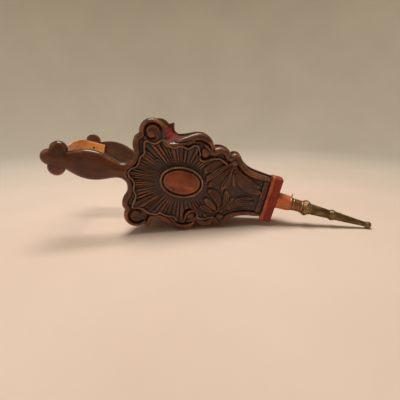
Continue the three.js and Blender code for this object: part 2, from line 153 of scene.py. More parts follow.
def arc(circle, start, end):
    """Clockwise arc of a circle, in steps of a millimetre."""
    x, y, r = circle
    end = end - 2 * math.pi if end > start else end
    t = np.linspace(start, end, 90)
    return resample(np.column_stack([x + r * np.cos(t), y + r * np.sin(t)]), 1.0)


def angle_to(circle, point):
    return math.atan2(point[1] - circle[1], point[0] - circle[0])


def arc_between(circle, start, end):
    return arc(circle, angle_to(circle, start), angle_to(circle, end))


def round_turn(count):
    """Angles that divide a turn evenly."""
    return np.linspace(0, 2 * math.pi, count, endpoint=False)


def chain(parts):
    """Joins curves end to end, without the points that repeat."""
    points = np.vstack(parts)
    apart = np.linalg.norm(np.diff(points, axis=0), axis=1) > 0.05
    return points[np.r_[True, apart]]


LOW_BARB = [(171, 81.5), (182, 77), (191, 75), (199, 79), (202, 87), (203.5, 94.5)]
HIGH_BARB = [(171, 80), (182, 73), (191, 66.5), (199, 63.5), (205, 67.5), (207.5, 82)]


def board_edge(barb):
    """Upper edge of a board's outline, from the nozzle end to the handle's tip."""
    swell = spline([(END_X, END_HALF_WIDTH), (28, 41.5), (41, 44.5), (52, 49.5), (61, 56.5), (67, 63.5)])
    bead = arc_between(BEAD, (67, 63.5), (87, 65))
    ruffle = arc_between(RUFFLE, (88.5, 68), (120, 69.5))
    scroll = spline([ruffle[-1], (123, 76), (128, 83), (136, 88.5), (146, 90), (158, 87.5), *barb[:-1]])
    spike = resample(barb[-2:], 1.0)
    volute = arc_between(VOLUTE, (213, 89), (249.5, 68))
    waist = spline([volute[-1], (255, 62), (257, 53), (255.5, 44), (252.5, 36), (252, 29),
                    (255, 20), (261, 14.8), (269, 13), (278, 14.8), (290, 19.3),
                    (302, 23), (315, 24.5), (328, 23.5), (341, 19.5), (353, 14.5)])
    side = arc(SIDE_LOBE, math.pi, angle_to(SIDE_LOBE, LOBES_MEET))
    tip = arc(END_LOBE, angle_to(END_LOBE, LOBES_MEET), 0)
    return chain([swell, bead, ruffle, scroll, spike, volute, waist, side, tip])


def loop_of(upper, lower):
    """Closed loop from an upper edge and a lower edge given as its mirror image."""
    return np.vstack([upper, (lower * [1, -1])[::-1][1:]])


UPPER_SHIFT = 6.0
UPPER_CUT = 0.05
HANDLE_CUT = 0.05


def lowered(points):
    """The back board's upper edge: cut a little lower, its scrolls nearer the handle."""
    x, y = points.T
    handle = ramp(x, 250, 290)
    shift = UPPER_SHIFT * ramp(x, 60, 130) * (1 - handle)
    return np.column_stack([x + shift, y * (1 - UPPER_CUT * ramp(x, 20, 60) - HANDLE_CUT * handle)])


# The core's edge on either side of its notch by the barb, and the notch, shallow or deep.
CORE_START = [(END_X, CORE_END_HALF_WIDTH), (28, 36.5), (46, 41), (60, 50), (76, 62), (104, 68),
              (122, 68.5), (132, 78), (147, 82), (164, 75)]
CORE_END = [(229, 89), (243, 79), (247, 62), (248, 48), (245, 34), (243.5, 18), (243, 0)]
HIGH_NOTCH = [(184, 63), (198, 59), (211, 76)]
LOW_NOTCH = [(184, 70), (198, 72.5), (211, 81)]


def core_edge(notch):
    """Smoothed edge of the inset core, which the gusset leather is tacked round."""
    return evenly(spline([*CORE_START, *notch, *CORE_END], 0.5), CORE_POINTS)


def front_core():
    return loop_of(core_edge(HIGH_NOTCH), core_edge(LOW_NOTCH))


def back_core():
    return loop_of(lowered(core_edge(LOW_NOTCH)), core_edge(LOW_NOTCH))


def inside(points, loop):
    """Even-odd test of many points against one closed loop."""
    x, y = points[:, :1], points[:, 1:2]
    a, b = loop, np.roll(loop, -1, axis=0)
    result = np.zeros(len(points), bool)
    for k in range(0, len(points), 4000):
        part = slice(k, k + 4000)
        spans = (a[:, 1] > y[part]) != (b[:, 1] > y[part])
        rise = np.where(b[:, 1] == a[:, 1], 1e-9, b[:, 1] - a[:, 1])
        crossing = a[:, 0] + (y[part] - a[:, 1]) * (b[:, 0] - a[:, 0]) / rise
        result[part] = (spans & (x[part] < crossing)).sum(axis=1) % 2 == 1
    return result


FAR = 1e3
TRACK_STEP = 0.4


def closed(loop):
    return np.vstack([loop, loop[:1]])


class Track:
    """A line that carving follows, asked for the distance, side and share along of many points."""

    def __init__(self, points):
        self.points = resample(points, TRACK_STEP)
        self.tree = KDTree(len(self.points))
        for i, (x, y) in enumerate(self.points):
            self.tree.insert((x, y, 0), i)
        self.tree.balance()
        self.heading = np.gradient(self.points, axis=0)

    def near(self, p, reach=FAR):
        """Signed distance, positive left of the line's heading, and share along it."""
        distance = np.full(len(p), FAR)
        share = np.zeros(len(p))
        low, high = self.points.min(0) - reach, self.points.max(0) + reach
        for k in np.flatnonzero(((p > low) & (p < high)).all(axis=1)):
            _, index, away = self.tree.find((p[k, 0], p[k, 1], 0))
            offset = p[k] - self.points[index]
            heading = self.heading[index]
            side = heading[0] * offset[1] - heading[1] * offset[0]
            distance[k] = math.copysign(away, side)
            share[k] = index / (len(self.points) - 1)
        return distance, share


# ---- Height functions, in millimetres above (+) or below (-) a board's nominal face ----
def ease(x):
    x = np.clip(x, 0, 1)
    return x * x * (3 - 2 * x)


def ramp(x, low, high):
    return ease((x - low) / (high - low))


def union(a, b, softness):
    h = np.clip(0.5 + 0.5 * (a - b) / softness, 0, 1)
    return b * (1 - h) + a * h + softness * h * (1 - h)


def mound(distance, half_width):
    """1 on a ridge's crest, 0 at its edges, round between; negative well outside."""
    q = np.abs(distance) / half_width
    return np.where(q < 1, np.sqrt(np.clip(1 - q * q, 0, 1)), -2 * np.clip(q - 1, 0, 3))


def ball(p, x, y, radius, low, high):
    r = np.hypot(p[:, 0] - x, p[:, 1] - y)
    return low + (high - low) * mound(r, radius)


def ellipse_distance(p):
    """Distance outside the oval, and the scale at which it would pass through each point."""
    half_x, half_y = OVAL
    x, y = p[:, 0] - OVAL_X, p[:, 1]
    k = np.sqrt((x / half_x) ** 2 + (y / half_y) ** 2) + 1e-9
    return (k - 1) * k / (np.sqrt(x**2 / half_x**4 + y**2 / half_y**4) + 1e-9), k


GROUND = -6.5
PANEL_GROUND = -5.3
OVAL_X = 163.0
OVAL = (33.0, 22.0)
FLUTES = 70
FLUTE_GROUPS = 19
FLUTE_DEPTH = 3.1
HANDLE_START = 250.0
HANDLE_FULL = 262.0
PANEL_START = 104.0
DISH_END = 128.0
CARVED_SPACING = 0.9
PLAIN_SPACING = 1.6
OVAL_RING = 4.4
BAND_HALF_WIDTH = 31.0
DEEPEST = -9.2
HIGHEST = 3.0

LIP_UPPER = [(255.5, 0), (251.8, 7.5), (245.5, 11.3), (241.8, 17.5), (240.5, 29), (235.5, 36),
             (236.8, 45), (238, 55.5), (233, 57.5), (225.5, 56.3), (219, 57.5), (213, 63.8),
             (208, 65), (203, 63), (198, 58.8), (193, 56.3), (186.8, 57), (178, 61.3), (170.5, 60.6),
             (164, 60), (158, 66.3), (154, 67.5), (149, 66.3), (143, 55), (140.5, 46), (133, 44.4),
             (125.5, 48), (118, 52), (112, 53), (105.5, 54), (98, 51)]
LIP_LOWER = [(255.5, 0), (251.8, -7.5), (246, -11.5), (242.5, -17.5), (241.5, -29), (236.5, -37),
             (236.5, -46), (238.5, -57), (235.5, -61), (222, -60), (208, -66.5), (195.5, -66),
             (188, -63), (180.5, -65.5), (163, -66), (158, -70), (151.8, -75), (145.5, -74.5),
             (142, -67.5), (141.3, -57.5), (135.5, -50.5), (128, -49.8), (122, -53.8), (119, -60),
             (106.8, -61), (99, -56.5), (93, -55.5)]

# Leaves: spine from the root, half width, ribs each side of the spine, how blunt the tip is, lift.
LEAVES = [
    ([(76, 49), (66, 37), (51, 26), (34, 20), (17, 17)], 8.6, 2, 0.5, -0.5),
    ([(76, 45), (65, 31), (50, 19), (33, 11.5), (12, 8)], 10.4, 3, 0.5, 0.3),
    ([(79, -42), (68, -33), (53, -22), (36, -16), (19, -13)], 8.2, 2, 0.3, 0.1),
    ([(78, -40), (66, -27), (51, -15), (38, -9), (26, -6)], 7.6, 2, 0.3, -0.5),
    ([(90, 54), (104, 48), (117, 37), (127, 24)], 8.6, 3, 0.5, -0.7),
    ([(82, 44), (91, 29), (101, 16), (114, 3)], 8.4, 2, 0.5, -0.6),
    ([(84, 49), (98, 38), (109, 26), (121, 12)], 7.8, 2, 0.6, 0.4),
    ([(75, 38), (72, 24), (66, 10)], 5.4, 1, 0.3, -0.6),
    ([(79, 42), (80, 27), (83, 14), (89, -1)], 6.6, 1, 0.5, 0.1),
    ([(90, -46), (104, -43), (121, -38)], 7.4, 2, 0.4, -0.9),
    ([(81, -40), (76, -26), (75, -12), (80, 1)], 6.8, 2, 0.4, -0.5),
    ([(86, -42), (99, -33), (115, -22)], 7.6, 2, 0.4, -0.5),
    ([(83, -40), (86, -26), (96, -13), (113, -4)], 8.4, 3, 0.5, 0.4),
    ([(75, -38), (68, -25), (61, -11)], 5.8, 1, 0.3, -0.6),
]


def leaf_height(p, spine, half_width, ribs, blunt, lift):
    distance, share = Track(spline(spine, 0.5)).near(p, half_width + 2)
    opening = 0.42 + 0.58 * ramp(share, 0, 0.6)
    closing = np.sqrt(np.clip(1 - ((share - 0.5) / 0.5).clip(0, 1) ** (1.4 + 2.2 * blunt), 0, 1))
    width = half_width * opening * np.maximum(closing, 0.12)
    q = np.abs(distance) / width
    body = -5.0 + lift + 3.5 * mound(distance, width) * (0.7 + 0.3 * ramp(share, 0, 0.3))
    tip_curl = 1.0 * ramp(share, 0.72, 0.97) * mound(distance, width).clip(0)
    ridges = 1.15 * (np.abs(np.cos(math.pi * ribs * q)) - 0.62) * (1 - 0.6 * ramp(share, 0.8, 1))
    return np.where(q < 1.6, body + (ridges + tip_curl) * (q < 1), GROUND - 4)


def coil(side):
    """Groove line of a volute: from its mouth beside the barb, over the outside, in under the ball."""
    t = np.linspace(0, 1, 80)
    angle = side * (2.9 - 5.5 * t)
    r = 14.6 - 4.4 * t
    return np.column_stack([VOLUTE[0] + r * np.cos(angle), side * VOLUTE[1] + r * np.sin(angle)])


def groove(h, track, p, half_width, depth, fade):
    distance, share = track.near(p, half_width + 2)
    strength = ramp(share, 0, fade) * ramp(1 - share, 0, fade)
    return h - depth * np.exp(-((distance / half_width) ** 2)) * strength


def flute_profile(count=8192):
    """Heights round one turn: rounded ridges of uneven width, with sharp valleys between."""
    random = np.random.default_rng(5)
    widths = random.uniform(0.6, 1.4, FLUTES)
    tops = random.uniform(0.6, 1.0, FLUTES)
    bounds = np.r_[0, np.cumsum(widths)] / widths.sum()
    turn = np.linspace(0, 1, count)
    k = np.clip(np.searchsorted(bounds, turn, side="right") - 1, 0, FLUTES - 1)
    q = 2 * (turn - bounds[k]) / (bounds[k + 1] - bounds[k]) - 1
    return turn, tops[k] * np.sqrt(np.clip(1 - q * q, 0, 1))


def dish_height(p, lip, ring):
    """Sunburst inside the lip: a bowl with flutes that fan out from round the oval."""
    share = np.clip(ring / (ring + np.maximum(lip, 0) + 1e-6), 0, 1)
    bowl = -3.4 - 2.6 * np.sin(math.pi * share**0.8)
    angle = np.arctan2(p[:, 1] / OVAL[1], (p[:, 0] - OVAL_X) / OVAL[0])
    flutes = np.interp((angle / (2 * math.pi) + 0.5) % 1, *flute_profile())
    groups = 0.5 + 0.5 * np.cos(FLUTE_GROUPS * angle + 1.3 * np.sin(2 * angle))
    strength = ramp(ring, 3, 16) * ramp(lip, 0.3, 3)
    return bowl + strength * (FLUTE_DEPTH * (flutes - 0.6) + 2.0 * (groups - 0.5) * ramp(ring, 8, 26))


def cushion(edge, width, low, high):
    """Rounded across from the edge inwards, flat beyond width."""
    q = 1 - np.clip(edge / width, 0, 1)
    return low + (high - low) * np.sqrt(1 - q * q)


# Grooves of the upper C-scroll and its flank, mirrored for the lower: line, half width, depth.
SCROLL_GROOVES = [
    ([(160, 73), (150, 76.5), (141, 76), (131, 72.5), (125, 66)], 1.9, 4.8),
    ([(145, 67), (145.5, 57), (139, 48.5), (129, 49), (122.5, 56)], 1.6, 4.5),
    ([(206, 68), (196, 65), (185, 66), (170, 72), (160, 77)], 1.3, 1.8),
]


def scroll_height(h, p, side):
    """Adds one side's volute, C-scroll and bead to the heights."""
    h = union(h, ball(p, VOLUTE[0], side * VOLUTE[1], 20.5, -7.0, -0.2), 0.6)
    h = groove(h, Track(coil(side)), p, 2.4, 3.5, 0.08)
    h = union(h, ball(p, VOLUTE[0] + 1, side * (VOLUTE[1] - 2.5), 7.8, -3.8, 1.3), 0.5)
    h = union(h, ball(p, 133.5, side * 59.5, 9.6, -8, 0.4), 0.4)
    for line, half_width, depth in SCROLL_GROOVES:
        track = Track(spline([(x, side * y) for x, y in line], 0.5))
        h = groove(h, track, p, half_width, depth, 0.2)
    return union(h, ball(p, BEAD[0], side * 53, 8.6, -8, 0.3), 0.4)


def carved_height(p, edge, lip_loop):
    """The front board's carved face. edge is each point's distance to the outline."""
    x, y = p.T
    lip, _ = Track(closed(lip_loop)).near(p)
    lip = np.where(inside(p, lip_loop), np.abs(lip), -np.abs(lip))
    ring, oval_k = ellipse_distance(p)
    h = np.where(lip > 0, dish_height(p, lip, ring - 5), GROUND)
    panel = ramp(x, DISH_END, PANEL_START) * (lip > 0)
    h = h * (1 - panel) + PANEL_GROUND * panel
    for leaf in LEAVES:
        h = union(h, leaf_height(p, *leaf), 0.7)
    roll_half = np.interp(x, [0, 50, 80, 118, 140, 165, 190, 214, 260],
                          [4.6, 5.2, 6.0, 6.6, 8.6, 8.4, 5.8, 4.2, 5.8])
    roll = GROUND + (-0.3 - GROUND) * mound(edge - roll_half, roll_half)
    h = np.where(x > END_X + 0.1, union(h, roll, 0.7), h)
    bead_ridge = -3.0 + 3.0 * mound(lip, 1.6)
    h = union(h, np.where(x > 90, bead_ridge, -20), 0.5)
    for side in (1, -1):
        h = scroll_height(h, p, side)
    h = union(h, ball(p, 106, -54, 5.4, -7.5, -0.6), 0.4)
    band = np.where(np.abs(y) < BAND_HALF_WIDTH, -1.6, GROUND - 3) - 4.5 * ramp(x, 10, 13.5)
    h = union(h, band, 0.5)
    h = np.where(ring < 7.5, oval_height(ring, oval_k, h), h)
    on_handle = ramp(x, HANDLE_START, HANDLE_FULL) * ramp(lip, 1.0, -1.0)
    h = h * (1 - on_handle) + cushion(edge, 18, -5.5, 2.9) * on_handle
    tooling = 0.10 * np.sin(x * 1.9 + 2 * np.sin(y * 0.7)) * np.sin(y * 1.7 + 1.5 * np.sin(x * 0.5))
    return np.clip(h + tooling, DEEPEST, HIGHEST)


def oval_height(ring, k, outside):
    """Domed oval, a sunk step round it and a raised ring."""
    dome = -2.4 + 4.4 * np.sqrt(np.clip(1 - k * k, 0, 1))
    lip = -5.8 + 6.3 * mound(ring - OVAL_RING, 2.3)
    h = np.where(ring < -0.4, dome, np.where(ring < 2.1, -6.6, lip))
    return np.where(ring > OVAL_RING, np.maximum(h, outside), h)


SINK_RADIUS = 4.55
SINK_RINGS = (4.7, 4.5, 2.2)


def plain_height(p, edge):
    """The back board's outer face: flat, with an eased edge and two countersinks."""
    h = cushion(edge, 4.5, -3.2, 0)
    for side in (1, -1):
        r = np.hypot(p[:, 0] + NOSE_LENGTH / 2, p[:, 1] - side * SCREW_Y)
        h = np.where(r < SINK_RADIUS, -0.9 - (SINK_RADIUS - r) * 0.95, h)
    return h + 0.05 * np.sin(p[:, 0] * 0.31 + 2 * np.sin(p[:, 1] * 0.12))


# ---- Mesh helpers ----
def add_object(name, data):
    thing = bpy.data.objects.new(name, data)
    bpy.context.scene.collection.objects.link(thing)
    return thing


class Shell:
    """Collects the faces of one piece, then joins them into one mesh."""

    def __init__(self):
        self.points = []
        self.faces = []
        self.count = 0

    def add(self, points, faces):
        self.points.append(np.asarray(points, float))
        self.faces += [tuple(int(i) + self.count for i in face) for face in faces]
        self.count += len(points)

    def grid(self, rows):
        """Quads over an array of closed rows of points."""
        rows = np.asarray(rows, float)
        n, m = rows.shape[:2]
        corners = [(i * m, j, (j + 1) % m) for i in range(n - 1) for j in range(m)]
        self.add(rows.reshape(-1, 3), [(i + j, i + k, i + m + k, i + m + j) for i, j, k in corners])

    def mesh(self, name, reach=0, sharp=40):
        """Makes the piece, with edges sharp above an angle and points welded within reach."""
        mesh = bpy.data.meshes.new(name)
        mesh.from_pydata([tuple(p) for p in np.vstack(self.points)], [], self.faces)
        mesh.shade_smooth()
        mesh.set_sharp_from_angle(angle=math.radians(sharp))
        if reach:
            weld(mesh, reach)
        return add_object(name, mesh)


def weld(mesh, reach):
    work = bmesh.new()
    work.from_mesh(mesh)
    bmesh.ops.remove_doubles(work, verts=work.verts, dist=reach)
    bmesh.ops.recalc_face_normals(work, faces=work.faces)
    work.to_mesh(mesh)
    work.free()


def at_depth(loop, depth):
    """The loop's points with a third coordinate, one value or one for each point."""
    return np.column_stack([loop, np.broadcast_to(depth, len(loop))])


def fill(outer, holes=(), extra=()):
    """Triangles between an outer loop and its holes, through the extra points."""
    loops = [outer, *holes]
    edges = []
    start = 0
    for loop in loops:
        count = len(loop)
        edges += [(start + i, start + (i + 1) % count) for i in range(count)]
        start += count
    given = np.vstack([*loops, extra] if len(extra) else loops)
    found = geometry.delaunay_2d_cdt([Vector(p) for p in given], edges, [], 0, 1e-5)
    points = np.array([v[:] for v in found[0]], float)
    faces = np.array([f[:] for f in found[2]], int)
    middle = points[faces].mean(axis=1)
    keep = inside(middle, outer)
    for hole in holes:
        keep &= ~inside(middle, hole)
    a, b, c = (points[faces[:, k]] for k in range(3))
    turn = (b - a)[:, 0] * (c - a)[:, 1] - (b - a)[:, 1] * (c - a)[:, 0]
    faces = np.where((turn < 0)[:, None], faces[:, ::-1], faces)
    return points, faces[keep]


def paint(piece, name, values):
    """Stores one value or vector per vertex for the materials."""
    values = np.asarray(values, np.float32)
    kind = "FLOAT" if values.ndim == 1 else "FLOAT_VECTOR"
    layer = piece.data.attributes.new(name, kind, "POINT")
    layer.data.foreach_set("value" if kind == "FLOAT" else "vector", values.ravel())


def coordinates(piece):
    co = np.zeros(len(piece.data.vertices) * 3, np.float32)
    piece.data.vertices.foreach_get("co", co)
    return co.reshape(-1, 3).astype(float)


def move_to(piece, points):
    piece.data.vertices.foreach_set("co", np.asarray(points, np.float32).ravel())
    piece.data.update()


def settle(piece, axes):
    """Keeps the board coordinates for the grain, then places the mesh in the row frame."""
    local = coordinates(piece)
    paint(piece, "grain", local * MM)
    move_to(piece, axes.place(local))
    return piece


def dress(piece, material):
    piece.data.materials.clear()
    piece.data.materials.append(material)
    return piece


# ---- Boards ----
def grid_points(loop, spacing):
    low, high = loop.min(0), loop.max(0)
    x = np.arange(low[0] + spacing / 2, high[0], spacing)
    y = np.arange(low[1] + spacing / 2, high[1], spacing * 0.94)
    gx, gy = np.meshgrid(x, y)
    gx[1::2] += spacing / 2
    return np.column_stack([gx.ravel(), gy.ravel()])


def edge_distance(p, outline, end_x):
    """Distance to the outline, leaving out the straight edge at the nozzle end."""
    open_edge = outline[outline[:, 0] > end_x + 0.3]
    return np.abs(Track(open_edge).near(p)[0])


def circle(x, y, r, count):
    t = round_turn(count)
    return np.column_stack([x + r * np.cos(t), y + r * np.sin(t)])


def board(name, outline, core, height, spacing, holes=(), extra=()):
    """Closed board in (x, y, depth): relief face, wall, rim round the core, core wall and inner face."""
    shell = Shell()
    inner = grid_points(outline, spacing)
    if len(extra):
        clear = np.ones(len(inner), bool)
        for point in extra:
            clear &= np.hypot(*(inner - point).T) > spacing * 0.4
        inner = np.vstack([inner[clear], extra])
    distance, _ = Track(closed(outline)).near(inner)
    keep = inside(inner, outline) & (np.abs(distance) > spacing * 0.45)
    for hole in holes:
        keep &= ~inside(inner, hole)
    points, faces = fill(outline, holes, inner[keep])
    tall = height(points)
    shell.add(at_depth(points, -tall), faces)
    count = len(outline)
    walls = [(outline, -tall[:count], PLATE)]
    start = count
    for hole in holes:
        walls.append((hole, -tall[start:start + len(hole)], BOARD))
        start += len(hole)
    walls.append((core, np.full(len(core), PLATE), BOARD))
    for loop, top, bottom in walls:
        steps = np.linspace(0, 1, 5)[:, None]
        shell.grid([at_depth(loop, depth) for depth in top * (1 - steps) + bottom * steps])
    for loop, inner_loops, depth in ((outline, [core], PLATE), (core, holes, BOARD)):
        points, faces = fill(loop, inner_loops)
        shell.add(at_depth(points, depth), faces)
    piece = shell.mesh(name, 1e-3)
    piece.data.set_sharp_from_angle(angle=math.radians(48))
    return piece


def relief_of(piece):
    """How far each vertex stands out from its neighbours: positive on crests, negative in grooves."""
    level = -coordinates(piece)[:, 2]
    edges = np.zeros(len(piece.data.edges) * 2, int)
    piece.data.edges.foreach_get("vertices", edges)
    a, b = edges.reshape(-1, 2).T
    here, there = np.r_[a, b], np.r_[b, a]
    number = np.maximum(np.bincount(here, minlength=len(level)), 1)
    smooth = level
    for _ in range(6):
        smooth = np.bincount(here, smooth[there], len(level)) / number
    return level - smooth


def crests(p, lip_loop):
    """1 along the thin ridges painted pale for rubbed wear and a painted highlight: the lip of the dish
    and the oval's ring.
    """
    lip, _ = Track(closed(lip_loop)).near(p)
    ring, _ = ellipse_distance(p)
    return np.maximum(np.exp(-((lip / 1.2) ** 2)) * ramp(p[:, 0], 84, 96),
                      np.exp(-(((ring - OVAL_RING) / 1.2) ** 2)))


def front_board():
    outline = loop_of(board_edge(HIGH_BARB), board_edge(LOW_BARB))
    lip_loop = spline(LIP_UPPER[:-1] + [(92, 48), (84, 40), (80, 30), (60, 33), (30, 28), (12, 27),
                                        (12, -26), (30, -27), (60, -33), (80, -44)]
                      + LIP_LOWER[:0:-1] + [LIP_UPPER[0]], 0.6)[:-1]

    def height(p):
        return carved_height(p, edge_distance(p, outline, END_X), lip_loop)

    piece = board("carved_front_board", outline, front_core(), height, CARVED_SPACING)
    co = coordinates(piece)
    carved = co[:, 2] < PLATE - 0.5
    # Relief per vertex: pale on the crests for wear with a painted highlight, and painted shade in the
    # grooves.
    paint(piece, "wear_and_painted_light", np.where(carved, relief_of(piece), 0.0))
    # Depth per vertex, for painted shade that darkens the deep hollows.
    paint(piece, "depth", np.where(carved, -co[:, 2], 0.0))
    # Lip and oval ring, painted pale for rubbed wear and a painted highlight.
    paint(piece, "rubbed_and_highlit", crests(co[:, :2], lip_loop) * carved)
    across_oval = np.hypot((co[:, 0] - OVAL_X) / OVAL[0], co[:, 1] / OVAL[1])
    dome = (across_oval < 1) * (1 - 0.6 * ramp(across_oval, 0.65, 1.0))
    handle = ramp(co[:, 0], 244, HANDLE_FULL)
    paint(piece, "bright", np.maximum(dome, 0.12 * handle) * carved)
    settle(piece, FRONT)
    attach(piece, "front_board")
    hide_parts("front_board")
    return dress(piece, carved_walnut())


def back_board():
    start_x = -NOSE_LENGTH - GAP
    edge = board_edge(LOW_BARB)
    nose_edge = resample([(start_x, END_HALF_WIDTH + 1), edge[0]], 1.0)[:-1]
    outline = loop_of(np.vstack([nose_edge, lowered(edge)]), np.vstack([nose_edge, edge]))
    corner = np.array([[start_x, CORE_END_HALF_WIDTH]])
    core = np.vstack([corner, back_core(), corner * [1, -1]])
    holes = [circle(VALVE_X, 0, VALVE_HOLE_R, 72)]
    rings = [circle(-NOSE_LENGTH / 2, side * SCREW_Y, r, 28) for side in (1, -1) for r in SINK_RINGS]

    def height(p):
        return plain_height(p, edge_distance(p, outline, start_x))

    piece = board("plain_back_board", outline, core, height, PLAIN_SPACING, holes, np.vstack(rings))
    co = coordinates(piece)
    outer = co[:, 2] < PLATE - 0.5
    # Relief per vertex, for pale eased edges that mix wear with a painted highlight.
    paint(piece, "wear_and_painted_light", np.where(outer, relief_of(piece), 0.0))
    move_to(piece, co * [1, 1, -1] + [0, 0, BACK_FACE])
    piece.data.flip_normals()
    settle(piece, BASE)
    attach(piece, "base")
    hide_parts("back_board")
    return dress(piece, plain_walnut())


# ---- Soft pieces that cross the board hinge ----
def blend_by(piece, weight):
    """Eases a weight per vertex, 0 at the base to 1 at the front board, and lays it in for a moment; the
    piece ends with its own coordinates and no transform.
    """
    real = coordinates(piece)
    weight = np.clip(weight, 0, 1)
    plain = 0.5 - np.sin(np.arcsin(1 - 2 * weight) / 3)
    laid = np.zeros_like(real)
    laid[:, 1] = plain
    move_to(piece, laid)
    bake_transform(piece)
    move_to(piece, real)


def unit(vectors):
    return vectors / np.linalg.norm(vectors, axis=1)[:, None]


def outward(path):
    """Unit normals to the left of an open path, pointing out of the board."""
    along = unit(np.gradient(path, axis=0))
    return np.column_stack([-along[:, 1], along[:, 0]])


GUSSET_STEPS = 22
FOLD_SHARE = 0.15
HEM = 0.8


def smooth_normals(path):
    normal = outward(path)
    for _ in range(3):
        normal[1:-1] = (normal[:-2] + normal[1:-1] * 2 + normal[2:]) / 4
    return unit(normal)


def gusset_wall(run, offset):
    """One face of the gusset leather: rows from the front board to the back board, in metres."""
    front, back = front_core(), back_core()
    normal = smooth_normals(front)
    side = front + normal * offset
    back_side = back + smooth_normals(back) * offset
    front_low = FRONT.place(at_depth(side, PLATE + HEM))
    front_high = FRONT.place(at_depth(side, BOARD + HEM))
    back_high = BASE.place(at_depth(back_side, BACK_Z - HEM))
    back_low = BASE.place(at_depth(back_side, BACK_Z + CORE - HEM))
    inward = -at_depth(normal, 0) @ BASE.matrix
    span = np.linalg.norm(front_high - back_high, axis=1)[:, None]
    from_end = np.minimum(run, run[-1] - run)[:, None]
    rows = [front_low, (front_low + front_high) / 2]
    shares = [0.0, 0.0]
    for k in range(GUSSET_STEPS + 1):
        share = k / GUSSET_STEPS
        crease = 1 - abs(2 * share - 1)
        fold = FOLD_SHARE * span * (0.65 * crease + 0.35 * crease**2) * np.clip(from_end / 16, 0, 1)
        wave = np.sin(run * 0.23 + 2.2 * np.sin(run * 0.045))[:, None]
        fine = np.sin(run * 0.61 + 3 * share + 1.7 * np.sin(run * 0.11))[:, None]
        pucker = math.sin(math.pi * share) * np.minimum(span, 0.05)
        ripple = pucker * (0.030 * wave + 0.012 * fine) * np.clip(from_end / 20, 0, 1)
        rows.append(front_high + (back_high - front_high) * share + inward * (fold + ripple))
        shares.append(share)
    rows += [(back_high + back_low) / 2, back_low]
    shares += [1.0, 1.0]
    return np.array(rows), np.array(shares)


def sleeve(name, rings, reach, sharp):
    """Closed flat tube; each ring runs out along one face and back along the other."""
    shell = Shell()
    shell.grid(rings)
    size = rings.shape[1]
    for start in (0, (len(rings) - 1) * size):
        for k in range(size // 2 - 1):
            shell.faces.append((start + k, start + k + 1, start + size - 2 - k, start + size - 1 - k))
    return shell.mesh(name, reach, sharp)


def paint_strip(piece, run, across):
    """Grain of a leather strip, from the distance along it and the distances round each ring."""
    along = np.repeat(run, len(across))
    paint(piece, "grain", np.column_stack([along, np.tile(across, len(run)), 0 * along]) * MM)


def gusset():
    run = run_along(front_core())
    outer, shares = gusset_wall(run, GAP + LEATHER)
    inner, _ = gusset_wall(run, GAP)
    rings = np.concatenate([outer, inner[::-1]]).transpose(1, 0, 2)
    piece = sleeve("gusset_leather_skin", rings, 1e-9, 60)
    ring_shares = np.concatenate([shares, shares[::-1]])
    paint_strip(piece, run, ring_shares * 60)
    across = np.tile(ring_shares, len(run))
    # Distance from the gusset's middle fold, for painted shade along the fold.
    paint(piece, "crease", np.abs(across - 0.5))
    blend_by(piece, 1 - across)
    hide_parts("gusset_leather")
    return dress(piece, cherry_leather())


def both_faces(lanes):
    """Pairs of a face, 1 or -1, and a lane: out along the first face, back along the second."""
    return [(1, lane) for lane in lanes] + [(-1, lane) for lane in lanes[::-1]]


def in_base(x, z_front):
    """A point in the front board's axes, as (x, z) in the base's axes."""
    return (x * math.cos(OPENING) + z_front * math.sin(OPENING),
            -x * math.sin(OPENING) + z_front * math.cos(OPENING) - NOSE_HALF_DEPTH)


def strap_path():
    back_z = BACK_Z - GAP - STRAP_THICKNESS / 2
    front_z = BOARD + GAP + STRAP_THICKNESS / 2
    end_x, end_z = in_base(361, front_z)
    points = [(336, back_z), (350, back_z), (362, back_z), (374, back_z - 2.5), (380, back_z - 14),
              (377, back_z - 44), (368, back_z - 80), (359, back_z - 106), (end_x - 1, end_z + 2),
              in_base(346, front_z), in_base(328, front_z)]
    return spline(points, 1.6)


def strap():
    """A limp tan leather strip, curled and frayed along its edges."""
    path = strap_path()
    normal = -outward(path)
    run = run_along(path)
    lanes = both_faces(np.linspace(-1, 1, 15))
    free = ramp(run, 30, 60) * ramp(run[-1] - run, 30, 60)
    columns = []
    for face, lane in lanes:
        fray = 0.7 * np.sin(run * 0.9 + 5 * lane) + 0.5 * np.sin(run * 2.3 + lane)
        width = STRAP_WIDTH / 2 + (fray * 0.5 if abs(lane) == 1 else 0)
        thick = STRAP_THICKNESS / 2 * (1 - 0.55 * abs(lane) ** 6)
        curl = free * (1.6 * lane * lane - 0.5 + 0.5 * np.sin(run * 0.16 + 2 * lane))
        offset = face * thick + curl + 0.12 * np.sin(run * 0.7 + 4 * lane)
        flat = path + normal * offset[:, None]
        y = STRAP_Y + lane * width + 1.2 * free * np.sin(run * 0.03)
        columns.append(np.column_stack([flat[:, 0], y, flat[:, 1]]))
    rings = np.array(columns).transpose(1, 0, 2)
    piece = sleeve("handle_strap_leather", BASE.place(rings), 1e-9, 60)
    paint_strip(piece, run, np.array([lane * 10 for _, lane in lanes]))
    crossing = np.interp(run, [44, run[-1] - 34], [0, 1])
    blend_by(piece, np.repeat(crossing, len(lanes)))
    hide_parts("handle_strap")
    return dress(piece, tan_leather())


